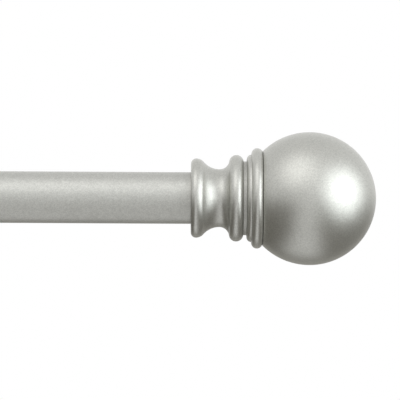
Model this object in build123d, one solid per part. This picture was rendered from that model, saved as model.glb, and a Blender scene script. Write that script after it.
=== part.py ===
from build123d import *

import math
import os
from dataclasses import dataclass

# Telescoping curtain rod on two wall brackets, in millimetres.
# The wall is the plane Y = 0, the room is on the -Y side, +X runs along the rod and +Z is up.
# The origin lies on the wall, midway between the brackets, at the height of their arms.

# --- overall sizes -------------------------------------------------------------------------------
shortest_length = 711.0  # flange to flange with the tubes pushed right in
pulled_out = 49.0  # how far the tubes are drawn apart as the rod hangs
right_overhang = 100.0  # right flange to the middle of its bracket
left_overhang = 75.0  # left flange to the middle of its bracket
projection = 90.0  # wall to rod axis with the arms pushed right in

# --- rod tubes -----------------------------------------------------------------------------------
tube_diameter = 15.9  # outer tube
tube_wall = 0.7
slip_gap = 0.9  # radial space between the tubes, bridged by the collar and the glide
least_showing = 53.0  # inner tube left in view when the tubes are pushed right in
glide_stop_gap = 4.0  # from glide to end plug when the tubes are pushed right in
collar_flange = 1.2
collar_depth = 12.0
glide_head = 6.0
glide_spigot = 8.0

# --- fits ----------------------------------------------------------------------------------------
sliding_clearance = 0.05  # radial, shaft in hole
rest_gap = 0.3  # between pieces that only meet when tightened or loaded
screw_hole_clearance = 0.2  # radial, screw through a plain hole
same_place = 1e-3  # edges this near each other along an axis share one place

# --- rod ends and threads ------------------------------------------------------------------------
socket_depth = 6.0  # finial neck over the tube
socket_clearance = 0.35
sleeve_showing = 6.0  # adapter sleeve outside the left finial
sleeve_edge = 0.8
plug_length = 18.0
plug_bore_depth = 14.0
insert_radius = 4.0
insert_length = 10.0
stud_radius = 3.0
stud_engagement = 9.0
stud_in_neck = 10.0

# --- finial, radii given as rises above the outer tube's surface ----------------------------------
lip_front_radius = 1.6  # on the side of the flange face
lip_back_radius = 3.0  # on the side of the hollow
lip_rise = 4.25
throat_rise = 0.95
throat_from_lip = 7.2  # lip crown to the narrowest point of the neck
large_bead_radius = 2.2
large_bead_rise = 5.36
large_bead_from_throat = 5.14
groove_width = 1.0
groove_rise = 3.4
quarter_bead_radius = 1.45  # rounds the shoulder before the seat bead
quarter_bead_rise = 5.5
seat_bead_radius = 1.75
seat_bead_rise = 7.5
ball_radius = 20.45
ball_wall = 1.5
ball_rim_overhang = 0.85  # ball rim beyond the middle of the seat bead
ball_spigot_length = 3.0

# --- bracket arm ---------------------------------------------------------------------------------
arm_radius = 6.0  # sliding arm
arm_wall = 1.5
arm_tube_wall = 1.45
arm_tube_length = 57.0
arm_back_gap = 3.0  # wall plate to the back of the sliding arm
arm_nose = 11.0  # sliding arm beyond the rod axis
cap_thickness = 2.0
cap_edge = 1.0
cap_spigot = 5.0
lock_from_end = 8.0  # lock screw to the room end of the arm tube
lock_boss_radius = 4.5
lock_boss_height = 2.5
lock_screw_radius = 1.95
lock_head_gap = 0.5

# --- cradle and clamp ----------------------------------------------------------------------------
cradle_width = 14.0
cradle_wall = 2.5
cradle_foot = 2.0  # metal between the arm and the bottom of the cup
cradle_wrap = 4.0  # how far the foot reaches down the sides of the arm
cradle_leg = 6.0  # legs above the rod axis
cradle_edge = 0.6
pad_thickness = 1.0  # under the outer tube
pad_half_angle = 68.0  # to each side of the lowest point
cradle_screw_radius = 1.95
cradle_screw_tip_gap = 0.5
spot_face_depth = 0.8
clamp_boss_radius = 4.5
clamp_boss_length = 4.0
clamp_screw_radius = 2.0
clamp_travel = 5.6
knob_radius = 7.0
knob_thickness = 7.0
knob_gap = 1.5  # knob to boss with the screw tight
knob_bore_depth = 5.0
knob_notches = 10
knob_notch_radius = 1.3
knob_edge = 0.9

# --- wall plate, rosette and wall screws ---------------------------------------------------------
plate_width = 26.0
plate_thickness = 3.0
plate_edge = 0.5
wall_screw_spacing = 36.0
wall_screw_radius = 2.0
wall_screw_neck = 2.25
wall_screw_hole = 2.6
wall_screw_length = 26.0  # full-width thread behind the wall plane
wall_screw_point = 6.0
rosette_radius = 31.0
rosette_wall = 1.2
rosette_rim = 2.5
rosette_shoulder = 6.0
rosette_collar_radius = 11.0
rosette_cone_rise = 3.5
rosette_collar_height = 3.0
rosette_plate_gap = 1.8

# --- screw heads ---------------------------------------------------------------------------------
wall_head_radius = 4.0
wall_head_height = 2.6
machine_head_radius = 3.5
machine_head_height = 2.2
head_edge = 0.7
slot_width = 1.0
slot_depth = 1.1

# --- derived sizes -------------------------------------------------------------------------------
tube_radius = tube_diameter / 2
tube_bore = tube_radius - tube_wall
inner_radius = tube_bore - slip_gap
inner_bore = inner_radius - tube_wall
set_length = shortest_length + pulled_out
bracket_spacing = set_length - left_overhang - right_overhang
left_flange = -bracket_spacing / 2 - left_overhang
right_flange = bracket_spacing / 2 + right_overhang
tube_entry = socket_depth - rest_gap  # tube end beyond the flange face
outer_tube_end = right_flange + tube_entry
mouth = left_flange + least_showing + pulled_out
inner_tube_end = outer_tube_end - plug_length - glide_stop_gap - glide_head - pulled_out
thread_bore = stud_radius + sliding_clearance
cradle_bore = tube_radius + rest_gap + pad_thickness
cradle_radius = cradle_bore + cradle_wall
rod_height = arm_radius + cradle_foot + cradle_radius
arm_bore = arm_radius - arm_wall
arm_tube_bore = arm_radius + sliding_clearance
arm_tube_radius = arm_tube_bore + arm_tube_wall
arm_tube_end = plate_thickness + arm_tube_length
lock_reach = arm_tube_end - lock_from_end  # wall to lock screw
lock_boss_face = arm_tube_radius + lock_boss_height
plate_height = 2 * (rosette_radius - rosette_wall - rosette_plate_gap)

ALONG = (1, 0, 0)
BACK_ALONG = (-1, 0, 0)
TO_ROOM = (0, -1, 0)
TO_WALL = (0, 1, 0)
UP = (0, 0, 1)
DOWN = (0, 0, -1)


@dataclass(frozen=True)
class Bracket:
    """One wall bracket: its name, where it stands along the rod, and the tube it holds."""

    side: str
    x: float
    held_radius: float


@dataclass(frozen=True)
class RodEnd:
    """One end of the rod: its name, flange position, outward direction and tube bore."""

    side: str
    flange: float
    outward: tuple
    bore: float


BRACKETS = (
    Bracket("left", -bracket_spacing / 2, inner_radius),
    Bracket("right", bracket_spacing / 2, tube_radius),
)
ROD_ENDS = (
    RodEnd("left", left_flange, BACK_ALONG, inner_bore),
    RodEnd("right", right_flange, ALONG, tube_bore),
)


# --- helpers: pieces are made along the local X axis and then placed ------------------------------
def bar(radius, start, end):
    """Round bar along local X from start to end."""
    cylinder = Cylinder(radius, end - start, align=(Align.CENTER, Align.CENTER, Align.MIN))
    return Pos(start, 0, 0) * Rot(0, 90, 0) * cylinder


def tube(radius, bore, start, end):
    """Round tube along local X from start to end."""
    return bar(radius, start, end) - bar(bore, start, end)


def turned(*edges):
    """Solid turned about local X from a closed outline of edges, (along, radius)."""
    return revolve(make_face(edges), Axis.X)


def placed(shape, origin, direction):
    """Moves a shape made along local X to an origin and a direction."""
    across = (0, 1, 0) if direction in (UP, DOWN) else (0, 0, 1)
    return Plane(origin=origin, x_dir=direction, z_dir=across).location * shape


def on_rod(shape, x, direction=ALONG):
    """Places a shape on the rod axis."""
    return placed(shape, (x, -projection, rod_height), direction)


def end_edges(shape, along):
    """The circles of a shape that lie at one place along local X."""
    circles = shape.edges().filter_by(GeomType.CIRCLE)
    return circles.filter_by(lambda circle: abs(circle.center().X - along) < same_place)


def pan_head(radius, height):
    """Slotted screw head that seats at local X = 0 and faces +X."""
    head = bar(radius, 0, height)
    head = fillet(end_edges(head, height), head_edge)
    slot = Pos(height - slot_depth / 2, 0, 0) * Box(slot_depth, 2 * radius, slot_width)
    return head - slot


# --- rod -----------------------------------------------------------------------------------------
def outer_tube():
    """Right-hand, larger tube of the rod."""
    return on_rod(tube(tube_radius, tube_bore, mouth, outer_tube_end), 0)


def inner_tube():
    """Left-hand, smaller tube that slides in the outer tube."""
    return on_rod(tube(inner_radius, inner_bore, left_flange - tube_entry, inner_tube_end), 0)


def tube_mouth_collar():
    """Flanged bush in the outer tube's mouth that the inner tube slides through."""
    bush_bore = inner_radius + sliding_clearance
    flange = tube(tube_radius, bush_bore, -collar_flange, 0)
    bush = tube(tube_bore, bush_bore, 0, collar_depth)
    return on_rod(flange + bush, mouth)


def inner_tube_glide():
    """Plug on the inner tube's hidden end that runs in the outer tube."""
    spigot = bar(inner_bore, -glide_spigot, 0)
    head = bar(tube_bore - sliding_clearance, 0, glide_head)
    return on_rod(spigot + head, inner_tube_end)


def tube_adapter_sleeve():
    """Sleeve that brings the smaller tube up to the finial's socket."""
    sleeve = tube(tube_radius, inner_radius, -sleeve_showing, tube_entry)
    rim = end_edges(sleeve, -sleeve_showing).sort_by(SortBy.RADIUS)[-1]
    return on_rod(chamfer(rim, sleeve_edge), left_flange, BACK_ALONG)


def end_plug(rod_end):
    """Plug pressed into the rod's end, bored for the threaded insert."""
    start = tube_entry - plug_length
    plug = bar(rod_end.bore, start, tube_entry)
    plug -= bar(insert_radius, tube_entry - insert_length, tube_entry)
    plug -= bar(stud_radius + rest_gap, tube_entry - plug_bore_depth, tube_entry - insert_length)
    return on_rod(plug, rod_end.flange, rod_end.outward)


def thread_insert(rod_end):
    """Threaded insert that the finial's stud screws into."""
    insert = tube(insert_radius, thread_bore, tube_entry - insert_length, tube_entry)
    return on_rod(insert, rod_end.flange, rod_end.outward)


# --- finials -------------------------------------------------------------------------------------
def hollow_radius(throat, bead_centre, bead_radius):
    """Radius of the hollow that bottoms at the throat and runs tangent into a bead."""
    along = bead_centre[0] - throat[0]
    rise = bead_centre[1] - throat[1]
    return (along**2 + rise**2 - bead_radius**2) / (2 * (rise + bead_radius))


def bearing(start, end):
    """Direction from one point of the outline to another, in degrees."""
    return math.degrees(math.atan2(end[1] - start[1], end[0] - start[0]))


lip_crown = tube_radius + lip_rise
lip_front = (lip_front_radius, lip_crown - lip_front_radius)
lip_back = (lip_front_radius, lip_crown - lip_back_radius)
throat = (lip_front_radius + throat_from_lip, tube_radius + throat_rise)
large_bead = (throat[0] + large_bead_from_throat, tube_radius + large_bead_rise - large_bead_radius)
quarter_start = large_bead[0] + large_bead_radius + groove_width
quarter_bead = (
    quarter_start + quarter_bead_radius,
    tube_radius + quarter_bead_rise - quarter_bead_radius,
)
seat_bead = (quarter_bead[0] + seat_bead_radius, tube_radius + seat_bead_rise - seat_bead_radius)
ball_seat = seat_bead[0] + seat_bead_radius
ball_rim = seat_bead[1] + ball_rim_overhang
ball_centre = ball_seat + math.sqrt(ball_radius**2 - ball_rim**2)
ball_mouth = math.sqrt((ball_radius - ball_wall) ** 2 - (ball_centre - ball_seat) ** 2)


def neck_outside():
    """Edges of the neck's outside, from the flange face to the ball's seat."""
    wide_radius = hollow_radius(throat, lip_back, lip_back_radius)
    tight_radius = hollow_radius(throat, large_bead, large_bead_radius)
    wide_centre = (throat[0], throat[1] + wide_radius)
    tight_centre = (throat[0], throat[1] + tight_radius)
    lip_turn = bearing(lip_back, wide_centre)
    bead_turn = bearing(large_bead, tight_centre)
    groove_floor = tube_radius + groove_rise
    groove_turn = math.degrees(math.asin((groove_floor - large_bead[1]) / large_bead_radius))
    front = CenterArc(lip_front, lip_front_radius, 180, -90)
    back = CenterArc(lip_back, lip_back_radius, 90, lip_turn - 90)
    wide_hollow = CenterArc(wide_centre, wide_radius, lip_turn + 180, 90 - lip_turn)
    tight_hollow = CenterArc(tight_centre, tight_radius, 270, bead_turn - 90)
    bead = CenterArc(large_bead, large_bead_radius, bead_turn, groove_turn - bead_turn)
    groove = Polyline(bead @ 1, (quarter_start, groove_floor), (quarter_start, quarter_bead[1]))
    shoulder = CenterArc(quarter_bead, quarter_bead_radius, 180, -90)
    last_bead = CenterArc(seat_bead, seat_bead_radius, 180, -180)
    step = Line(shoulder @ 1, last_bead @ 0)
    return [front, back, wide_hollow, tight_hollow, bead, groove, shoulder, step, last_bead]


def finial_neck(rod_end):
    """Turned neck of the finial: socket, lip, hollow and beads, with a spigot for the ball."""
    spigot_radius = ball_mouth - sliding_clearance
    spigot_end = ball_seat + ball_spigot_length
    stud_end = socket_depth + stud_in_neck
    socket = tube_radius + socket_clearance
    inside = Polyline(
        (ball_seat, seat_bead[1]),
        (ball_seat, spigot_radius),
        (spigot_end, spigot_radius),
        (spigot_end, 0),
        (stud_end, 0),
        (stud_end, thread_bore),
        (socket_depth, thread_bore),
        (socket_depth, socket),
        (0, socket),
        (0, lip_front[1]),
    )
    return on_rod(turned(*neck_outside(), inside), rod_end.flange, rod_end.outward)


def finial_ball(rod_end):
    """Hollow ball with a round mouth that sits on the neck."""
    shell = Sphere(ball_radius) - Sphere(ball_radius - ball_wall)
    behind_seat = bar(ball_radius, -ball_radius, ball_seat - ball_centre)
    ball = Pos(ball_centre, 0, 0) * (shell - behind_seat)
    return on_rod(ball, rod_end.flange, rod_end.outward)


def finial_stud(rod_end):
    """Threaded stud that stands out of the neck's socket."""
    stud = bar(stud_radius, tube_entry - stud_engagement, socket_depth + stud_in_neck - rest_gap)
    return on_rod(stud, rod_end.flange, rod_end.outward)


# --- bracket: fixed pieces -----------------------------------------------------------------------
def wall_plate(bracket):
    """Oblong plate screwed to the wall, with two screw holes."""
    plate = extrude(SlotOverall(plate_height, plate_width, rotation=90), plate_thickness)
    plate = fillet(plate.faces().sort_by(Axis.Z)[-1].edges(), plate_edge)
    for z in (-wall_screw_spacing / 2, wall_screw_spacing / 2):
        plate -= Pos(0, z, 0) * Cylinder(wall_screw_hole, 3 * plate_thickness)
    return Plane(origin=(bracket.x, 0, 0), x_dir=ALONG, z_dir=TO_ROOM).location * plate


def arm_tube(bracket):
    """Fixed tube of the arm, with a boss below for the lock screw."""
    sleeve = bar(arm_tube_radius, plate_thickness, arm_tube_end)
    boss = placed(bar(lock_boss_radius, 0, lock_boss_face), (lock_reach, 0, 0), DOWN)
    hole = placed(bar(lock_screw_radius + sliding_clearance, 0, lock_boss_face), (lock_reach, 0, 0), DOWN)
    bored = sleeve + boss - hole - bar(arm_tube_bore, plate_thickness, arm_tube_end)
    return placed(bored, (bracket.x, 0, 0), TO_ROOM)


def wall_screw():
    """Wood screw from its head on the plate to its point in the wall, along local X."""
    head = placed(pan_head(wall_head_radius, wall_head_height), (-plate_thickness, 0, 0), BACK_ALONG)
    neck = bar(wall_screw_neck, -plate_thickness, 0)
    thread = bar(wall_screw_radius, 0, wall_screw_length)
    point = Pos(wall_screw_length, 0, 0) * Rot(0, 90, 0) * Cone(
        wall_screw_radius, 0, wall_screw_point, align=(Align.CENTER, Align.CENTER, Align.MIN)
    )
    return head + neck + thread + point


def wall_screws():
    """The four wall screws, two to a plate."""
    heights = (-wall_screw_spacing / 2, wall_screw_spacing / 2)
    places = [(bracket.x, 0, z) for bracket in BRACKETS for z in heights]
    return Compound([placed(wall_screw(), place, TO_WALL) for place in places])


# --- bracket: moving pieces ----------------------------------------------------------------------
def rosette_dome(inset):
    """Solid dome of the rosette, drawn in by the inset."""
    shoulder_radius = rosette_radius - rosette_shoulder
    shoulder = CenterArc((rosette_rim, shoulder_radius), rosette_shoulder - inset, 90, -90)
    cone_top = rosette_rim + rosette_shoulder + rosette_cone_rise - inset
    rim = Polyline((0, 0), (0, rosette_radius - inset), shoulder @ 0)
    cone = Polyline(shoulder @ 1, (cone_top, rosette_collar_radius - inset), (cone_top, 0), (0, 0))
    return turned(rim, shoulder, cone)


def rosette(bracket):
    """Round cover that hides the wall plate and slides along the arm tube."""
    collar_start = rosette_rim + rosette_shoulder + rosette_cone_rise - rosette_wall
    collar_end = collar_start + rosette_wall + rosette_collar_height
    cover = rosette_dome(0) - rosette_dome(rosette_wall)
    cover += bar(rosette_collar_radius, collar_start, collar_end)
    cover = fillet(end_edges(cover, collar_end), rosette_wall)
    cover -= bar(arm_tube_radius + sliding_clearance, 0, collar_end)
    return placed(cover, (bracket.x, 0, 0), TO_ROOM)


def sliding_arm(bracket):
    """Inner tube of the arm, drilled across for the cradle screw."""
    arm = tube(arm_radius, arm_bore, plate_thickness + arm_back_gap, projection + arm_nose)
    through = arm_radius + screw_hole_clearance
    arm -= placed(
        bar(cradle_screw_radius + screw_hole_clearance, -through, through), (projection, 0, 0), UP
    )
    arm -= placed(
        bar(machine_head_radius + screw_hole_clearance, arm_radius - spot_face_depth, through),
        (projection, 0, 0),
        DOWN,
    )
    return placed(arm, (bracket.x, 0, 0), TO_ROOM)


def arm_end_cap(bracket):
    """Button that closes the room end of the sliding arm."""
    nose = projection + arm_nose
    button = bar(arm_radius, nose, nose + cap_thickness)
    button = fillet(end_edges(button, nose + cap_thickness), cap_edge)
    return placed(button + bar(arm_bore, nose - cap_spigot, nose), (bracket.x, 0, 0), TO_ROOM)


def arm_lock_screw(bracket):
    """Screw under the arm tube that holds the sliding arm."""
    seat = lock_boss_face + lock_head_gap
    head = placed(pan_head(machine_head_radius, machine_head_height), (seat, 0, 0), ALONG)
    shank = bar(lock_screw_radius, arm_radius + rest_gap, seat)
    return placed(head + shank, (bracket.x, -lock_reach, 0), DOWN)


def across_rod(bracket):
    """Plane square to the rod at a bracket, with its first axis to the room and its second up."""
    return Plane(origin=(bracket.x, -projection, rod_height), x_dir=TO_ROOM, z_dir=BACK_ALONG)


def trough(radius):
    """Half-round section with straight sides up to the top of the cradle's legs."""
    below = Circle(radius) - Pos(0, radius / 2) * Rectangle(2 * radius, radius)
    return below + Pos(0, cradle_leg / 2) * Rectangle(2 * radius, cradle_leg)


def cradle(bracket):
    """Cup that carries the rod, on a foot that saddles the arm, with a boss for the clamp screw."""
    foot_height = cradle_radius + cradle_foot + cradle_wrap
    foot = Pos(0, -foot_height / 2) * Rectangle(cradle_width, foot_height)
    cup = trough(cradle_radius) + foot - trough(cradle_bore)
    body = extrude(across_rod(bracket) * cup, cradle_width / 2, both=True)
    tips = body.faces().sort_by(Axis.Z)[-2:]
    body = fillet([edge for tip in tips for edge in tip.edges()], cradle_edge)
    outside = projection + cradle_radius
    boss = bar(clamp_boss_radius, outside - cradle_wall, outside + clamp_boss_length)
    body += placed(boss, (bracket.x, 0, rod_height), TO_ROOM)
    clamp_hole = bar(clamp_screw_radius + sliding_clearance, projection, outside + clamp_boss_length)
    body -= placed(clamp_hole, (bracket.x, 0, rod_height), TO_ROOM)
    body -= placed(bar(arm_radius, 0, projection + arm_nose), (bracket.x, 0, 0), TO_ROOM)
    thread_hole = bar(cradle_screw_radius + sliding_clearance, 0, rod_height)
    return body - placed(thread_hole, (bracket.x, -projection, 0), UP)


def cradle_pad(bracket):
    """Soft liner between the cup and the tube that lies in it."""
    start = 270 - pad_half_angle
    sweep = 2 * pad_half_angle
    inside = CenterArc((0, 0), bracket.held_radius + rest_gap, start, sweep)
    outside = CenterArc((0, 0), cradle_bore, start, sweep)
    face = make_face([inside, Line(inside @ 1, outside @ 1), outside, Line(outside @ 0, inside @ 0)])
    return extrude(across_rod(bracket) * face, cradle_width / 2, both=True)


def cradle_screw(bracket):
    """Screw from under the arm up into the cradle."""
    seat = arm_radius - spot_face_depth
    head = placed(pan_head(machine_head_radius, machine_head_height), (seat, 0, 0), ALONG)
    tip = rod_height - cradle_bore - cradle_screw_tip_gap
    return placed(head + bar(cradle_screw_radius, -tip, seat), (bracket.x, -projection, 0), DOWN)


def clamp_knob_start():
    """Distance from the wall to the back of the clamp knob."""
    return projection + cradle_radius + clamp_boss_length + knob_gap


def clamp_screw(bracket):
    """Threaded shank whose tip presses the tube against the cup."""
    tip = projection + bracket.held_radius + rest_gap
    shank = bar(clamp_screw_radius, tip, clamp_knob_start() + knob_bore_depth - rest_gap)
    return placed(shank, (bracket.x, 0, rod_height), TO_ROOM)


def clamp_knob(bracket):
    """Notched knob on the clamp screw."""
    start = clamp_knob_start()
    knob = bar(knob_radius, start, start + knob_thickness)
    knob = fillet(end_edges(knob, start) + end_edges(knob, start + knob_thickness), knob_edge)
    for index in range(knob_notches):
        notch = Pos(0, knob_radius, 0) * bar(knob_notch_radius, start, start + knob_thickness)
        knob -= Rot(index * 360 / knob_notches, 0, 0) * notch
    knob -= bar(clamp_screw_radius + sliding_clearance, start, start + knob_bore_depth)
    return placed(knob, (bracket.x, 0, rod_height), TO_ROOM)


# --- the assembly --------------------------------------------------------------------------------
BRACKET_PIECES = (
    wall_plate,
    arm_tube,
    rosette,
    sliding_arm,
    arm_end_cap,
    arm_lock_screw,
    cradle,
    cradle_pad,
    cradle_screw,
    clamp_screw,
    clamp_knob,
)
ROD_END_PIECES = (end_plug, thread_insert, finial_stud, finial_neck, finial_ball)
ROD_PIECES = (outer_tube, inner_tube, tube_mouth_collar, inner_tube_glide, tube_adapter_sleeve)

pieces = {make.__name__: make() for make in (*ROD_PIECES, wall_screws)}
for make in BRACKET_PIECES:
    for bracket in BRACKETS:
        pieces[f"{make.__name__}_{bracket.side}"] = make(bracket)
for make in ROD_END_PIECES:
    for rod_end in ROD_ENDS:
        pieces[f"{make.__name__}_{rod_end.side}"] = make(rod_end)

os.makedirs("parts", exist_ok=True)
for name, shape in pieces.items():
    export_step(shape, f"parts/{name}.step")
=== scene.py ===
"""Curtain rod with turned ball finials on two wall brackets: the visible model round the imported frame."""

import bisect
import logging
import math
from dataclasses import dataclass, field
from enum import Enum

import bmesh
import bpy
from mathutils import Matrix, Vector


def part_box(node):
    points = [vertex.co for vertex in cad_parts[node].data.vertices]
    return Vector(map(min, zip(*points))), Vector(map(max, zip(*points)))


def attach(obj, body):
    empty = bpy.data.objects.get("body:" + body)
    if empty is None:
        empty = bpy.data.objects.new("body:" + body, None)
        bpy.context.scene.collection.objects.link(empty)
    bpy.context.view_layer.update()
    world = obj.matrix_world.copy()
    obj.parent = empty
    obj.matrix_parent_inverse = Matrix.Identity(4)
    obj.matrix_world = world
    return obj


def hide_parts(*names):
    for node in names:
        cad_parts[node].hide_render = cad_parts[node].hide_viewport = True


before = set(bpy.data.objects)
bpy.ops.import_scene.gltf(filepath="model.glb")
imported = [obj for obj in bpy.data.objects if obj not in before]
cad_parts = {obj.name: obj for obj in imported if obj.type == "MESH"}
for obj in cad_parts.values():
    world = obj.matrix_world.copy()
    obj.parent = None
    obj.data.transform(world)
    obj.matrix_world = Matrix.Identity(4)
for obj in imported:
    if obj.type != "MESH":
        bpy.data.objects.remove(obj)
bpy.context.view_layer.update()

Material = bpy.types.Material
Mesh = bpy.types.Mesh
Node = bpy.types.Node
Piece = bpy.types.Object
Socket = bpy.types.NodeSocket
Tree = bpy.types.NodeTree
Colour = tuple[float, float, float]

MM = 0.001
WELD = 1e-7  # points this near each other are one point
RELIEF = "relief"  # attribute that says how deep a point lies between crowns and hollows
RELIEF_REACH = 1.2 * MM
HOLLOWS = (0.03, 0.3)  # relief at which the painted shade in hollows starts, and is deepest
CROWNS = (0.05, 0.3)  # relief, turned over, at which polish starts, and is full
POLISHED = (0.3, 0.65, 0.25)  # noise where polish is least, where it is full, and its least share
FLAT_ANGLE = math.radians(1)  # faces that meet flatter than this are one face
LOG = logging.getLogger("curtain_rod")


# Directions and named choices
# ----------------------------
class Side(Enum):
    """The two ends of the rod, by the sign of their X."""

    LEFT = -1
    RIGHT = 1

    def node(self, stem: str) -> str:
        """Name of this side's node or body."""
        return f"{stem}_{self.name.lower()}"


class Heading(Enum):
    """Directions that a turned piece can lie along."""

    RIGHT = (1, 0, 0)
    LEFT = (-1, 0, 0)
    TO_ROOM = (0, -1, 0)
    DOWN = (0, 0, -1)

    def matrix(self, origin: Vector) -> Matrix:
        """Matrix that takes local X to this direction, and local zero to an origin in metres."""
        along = Vector(self.value)
        spare = Vector((0, 1, 0)) if self is Heading.DOWN else Vector((0, 0, 1))
        turned = Matrix((along, spare.cross(along), spare)).transposed().to_4x4()
        return Matrix.Translation(origin) @ turned


# Small node helpers
# ------------------
@dataclass
class Wiring:
    """Adds and links nodes in one tree."""

    tree: Tree

    def feed(self, node: Node, inputs: dict[str | int, object]) -> None:
        """Sets a node's inputs, each by a socket to link or a plain value."""
        for name, value in inputs.items():
            if isinstance(value, Socket):
                self.tree.links.new(value, node.inputs[name])
            else:
                node.inputs[name].default_value = value

    def add(self, kind: str, inputs: dict[str | int, object] | None = None, **settings: object) -> Node:
        """Adds a node.

        Args:
            kind: The node's type name.
            inputs: Sockets or plain values for its inputs.
            **settings: Attributes to set on it first.

        Returns:
            The new node.
        """
        node = self.tree.nodes.new(kind)
        for name, value in settings.items():
            setattr(node, name, value)
        self.feed(node, inputs or {})
        return node

    def math(self, operation: str, first: object, second: object = 0.0, clamp: bool = False) -> Socket:
        """Adds a Math node fed by sockets or plain numbers, and returns its result."""
        node = self.add("ShaderNodeMath", {0: first, 1: second}, operation=operation, use_clamp=clamp)
        return node.outputs[0]

    def ease(self, value: Socket, start: float, end: float, low: float = 0.0, high: float = 1.0) -> Socket:
        """Maps a value smoothly from one range to another.

        Args:
            value: The socket to map.
            start: Where the rise starts.
            end: Where the rise ends.
            low: Result at the start.
            high: Result at the end.

        Returns:
            The mapped socket.
        """
        ranges = {"Value": value, "From Min": start, "From Max": end, "To Min": low, "To Max": high}
        return self.add("ShaderNodeMapRange", ranges, interpolation_type="SMOOTHSTEP").outputs["Result"]

    def blend(self, factor: Socket, first: object, second: object) -> Socket:
        """Mixes two colours, sockets or tuples, by a factor."""
        node = self.add("ShaderNodeMix", {"Factor": factor}, data_type="RGBA")
        colours = [index for index, socket in enumerate(node.inputs) if socket.type == "RGBA"]
        for index, value in zip(colours, (first, second)):
            self.feed(node, {index: value if isinstance(value, Socket) else (*value, 1.0)})
        return next(socket for socket in node.outputs if socket.type == "RGBA")

    def scaled(self, vector: object, factor: Socket) -> Socket:
        """Multiplies a colour or vector by a number."""
        node = self.add("ShaderNodeVectorMath", {0: vector, "Scale": factor}, operation="SCALE")
        return node.outputs["Vector"]

    def noise(self, place: Socket, scale: object, detail: float = 2.0, roughness: float = 0.5) -> Socket:
        """Adds soft noise over a place."""
        inputs = {"Vector": place, "Scale": scale, "Detail": detail, "Roughness": roughness}
        return self.add("ShaderNodeTexNoise", inputs).outputs["Fac"]

    def group(self, tree: Tree, inputs: dict[str, float] | None = None) -> object:
        """Adds a shared group and returns its outputs."""
        node = self.add("ShaderNodeGroup", node_tree=tree)
        self.feed(node, inputs or {})
        return node.outputs

    def bump(self, shader: Node, height: Socket, strength: float, distance: float) -> None:
        """Turns a height into small tilts of a shader's surface."""
        bump = self.add("ShaderNodeBump", {"Strength": strength, "Distance": distance, "Height": height})
        self.feed(shader, {"Normal": bump.outputs["Normal"]})


def add_sockets(tree: Tree, way: str, kind: str, defaults: dict[str, object]) -> None:
    """Adds named sockets of one kind to a node group, each with its value before anything is set."""
    for name, default in defaults.items():
        socket = tree.interface.new_socket(name=name, in_out=way, socket_type="NodeSocket" + kind)
        if default is not None:
            socket.default_value = default


# Shader groups shared by the finishes
# ------------------------------------
def shader_group(name: str, inputs: dict[str, float], outputs: list[str]) -> tuple[Wiring, object, Socket]:
    """Starts a shader group of plain numbers.

    Args:
        name: The group's name.
        inputs: Its inputs with their values before anything is set.
        outputs: Its outputs' names.

    Returns:
        Its wiring, its inputs' sockets and the place on the object.
    """
    tree = bpy.data.node_groups.new(name, "ShaderNodeTree")
    add_sockets(tree, "INPUT", "Float", inputs)
    add_sockets(tree, "OUTPUT", "Float", dict.fromkeys(outputs))
    wires = Wiring(tree)
    given = wires.add("NodeGroupInput").outputs
    return wires, given, wires.add("ShaderNodeTexCoord").outputs["Object"]


def flake_group() -> Tree:
    """Metal flake: a brightness that differs from flake to flake, and a height for their tilt."""
    inputs = {"Flake Size": 0.2 * MM, "Contrast": 0.1}
    wires, given, place = shader_group("metal_flake", inputs, ["Shade", "Height"])
    scale = wires.math("DIVIDE", 1.0, given["Flake Size"])
    cells = wires.add("ShaderNodeTexVoronoi", {"Vector": place, "Scale": scale}).outputs["Color"]
    parts = wires.add("ShaderNodeSeparateColor", {"Color": cells}).outputs
    swing = wires.math("MULTIPLY", wires.math("SUBTRACT", parts["Red"], 0.5), given["Contrast"])
    wires.add("NodeGroupOutput", {"Shade": wires.math("ADD", swing, 1.0), "Height": parts["Green"]})
    return wires.tree


def handling_group() -> Tree:
    """Handling marks: broad soft clouds with finer smears in them, for roughness."""
    inputs = {"Patch Size": 20 * MM, "Middle": 0.3, "Spread": 0.05}
    wires, given, place = shader_group("handling_marks", inputs, ["Roughness"])
    scale = wires.math("DIVIDE", 1.0, given["Patch Size"])
    clouds = wires.noise(place, scale, detail=5.0, roughness=0.6)
    swing = wires.math("MULTIPLY", wires.math("SUBTRACT", clouds, 0.5), 2.0)
    spread = wires.math("MULTIPLY", swing, given["Spread"])
    wires.add("NodeGroupOutput", {"Roughness": wires.math("ADD", given["Middle"], spread)})
    return wires.tree


def relief_group() -> Tree:
    """Masks for the hollows, which take painted shade, and for the crowns, which handling polishes."""
    wires, given, place = shader_group("relief_masks", {"Patch Size": 1.5 * MM}, ["Hollow", "Crown"])
    source = wires.add("ShaderNodeAttribute", attribute_type="GEOMETRY", attribute_name=RELIEF)
    relief = source.outputs["Fac"]
    patches = wires.noise(place, wires.math("DIVIDE", 1.0, given["Patch Size"]), detail=4.0)
    crown = wires.ease(wires.math("MULTIPLY", relief, -1.0), *CROWNS)
    broken = wires.math("MULTIPLY", crown, wires.ease(patches, *POLISHED))
    # The hollow mask darkens the colour in the finishes: painted shade in the hollows.
    wires.add("NodeGroupOutput", {"Hollow": wires.ease(relief, *HOLLOWS), "Crown": broken})
    return wires.tree


@dataclass
class PaintShop:
    """The shader groups that every finish shares."""

    flake: Tree = field(default_factory=flake_group)
    handling: Tree = field(default_factory=handling_group)
    relief: Tree = field(default_factory=relief_group)


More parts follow.
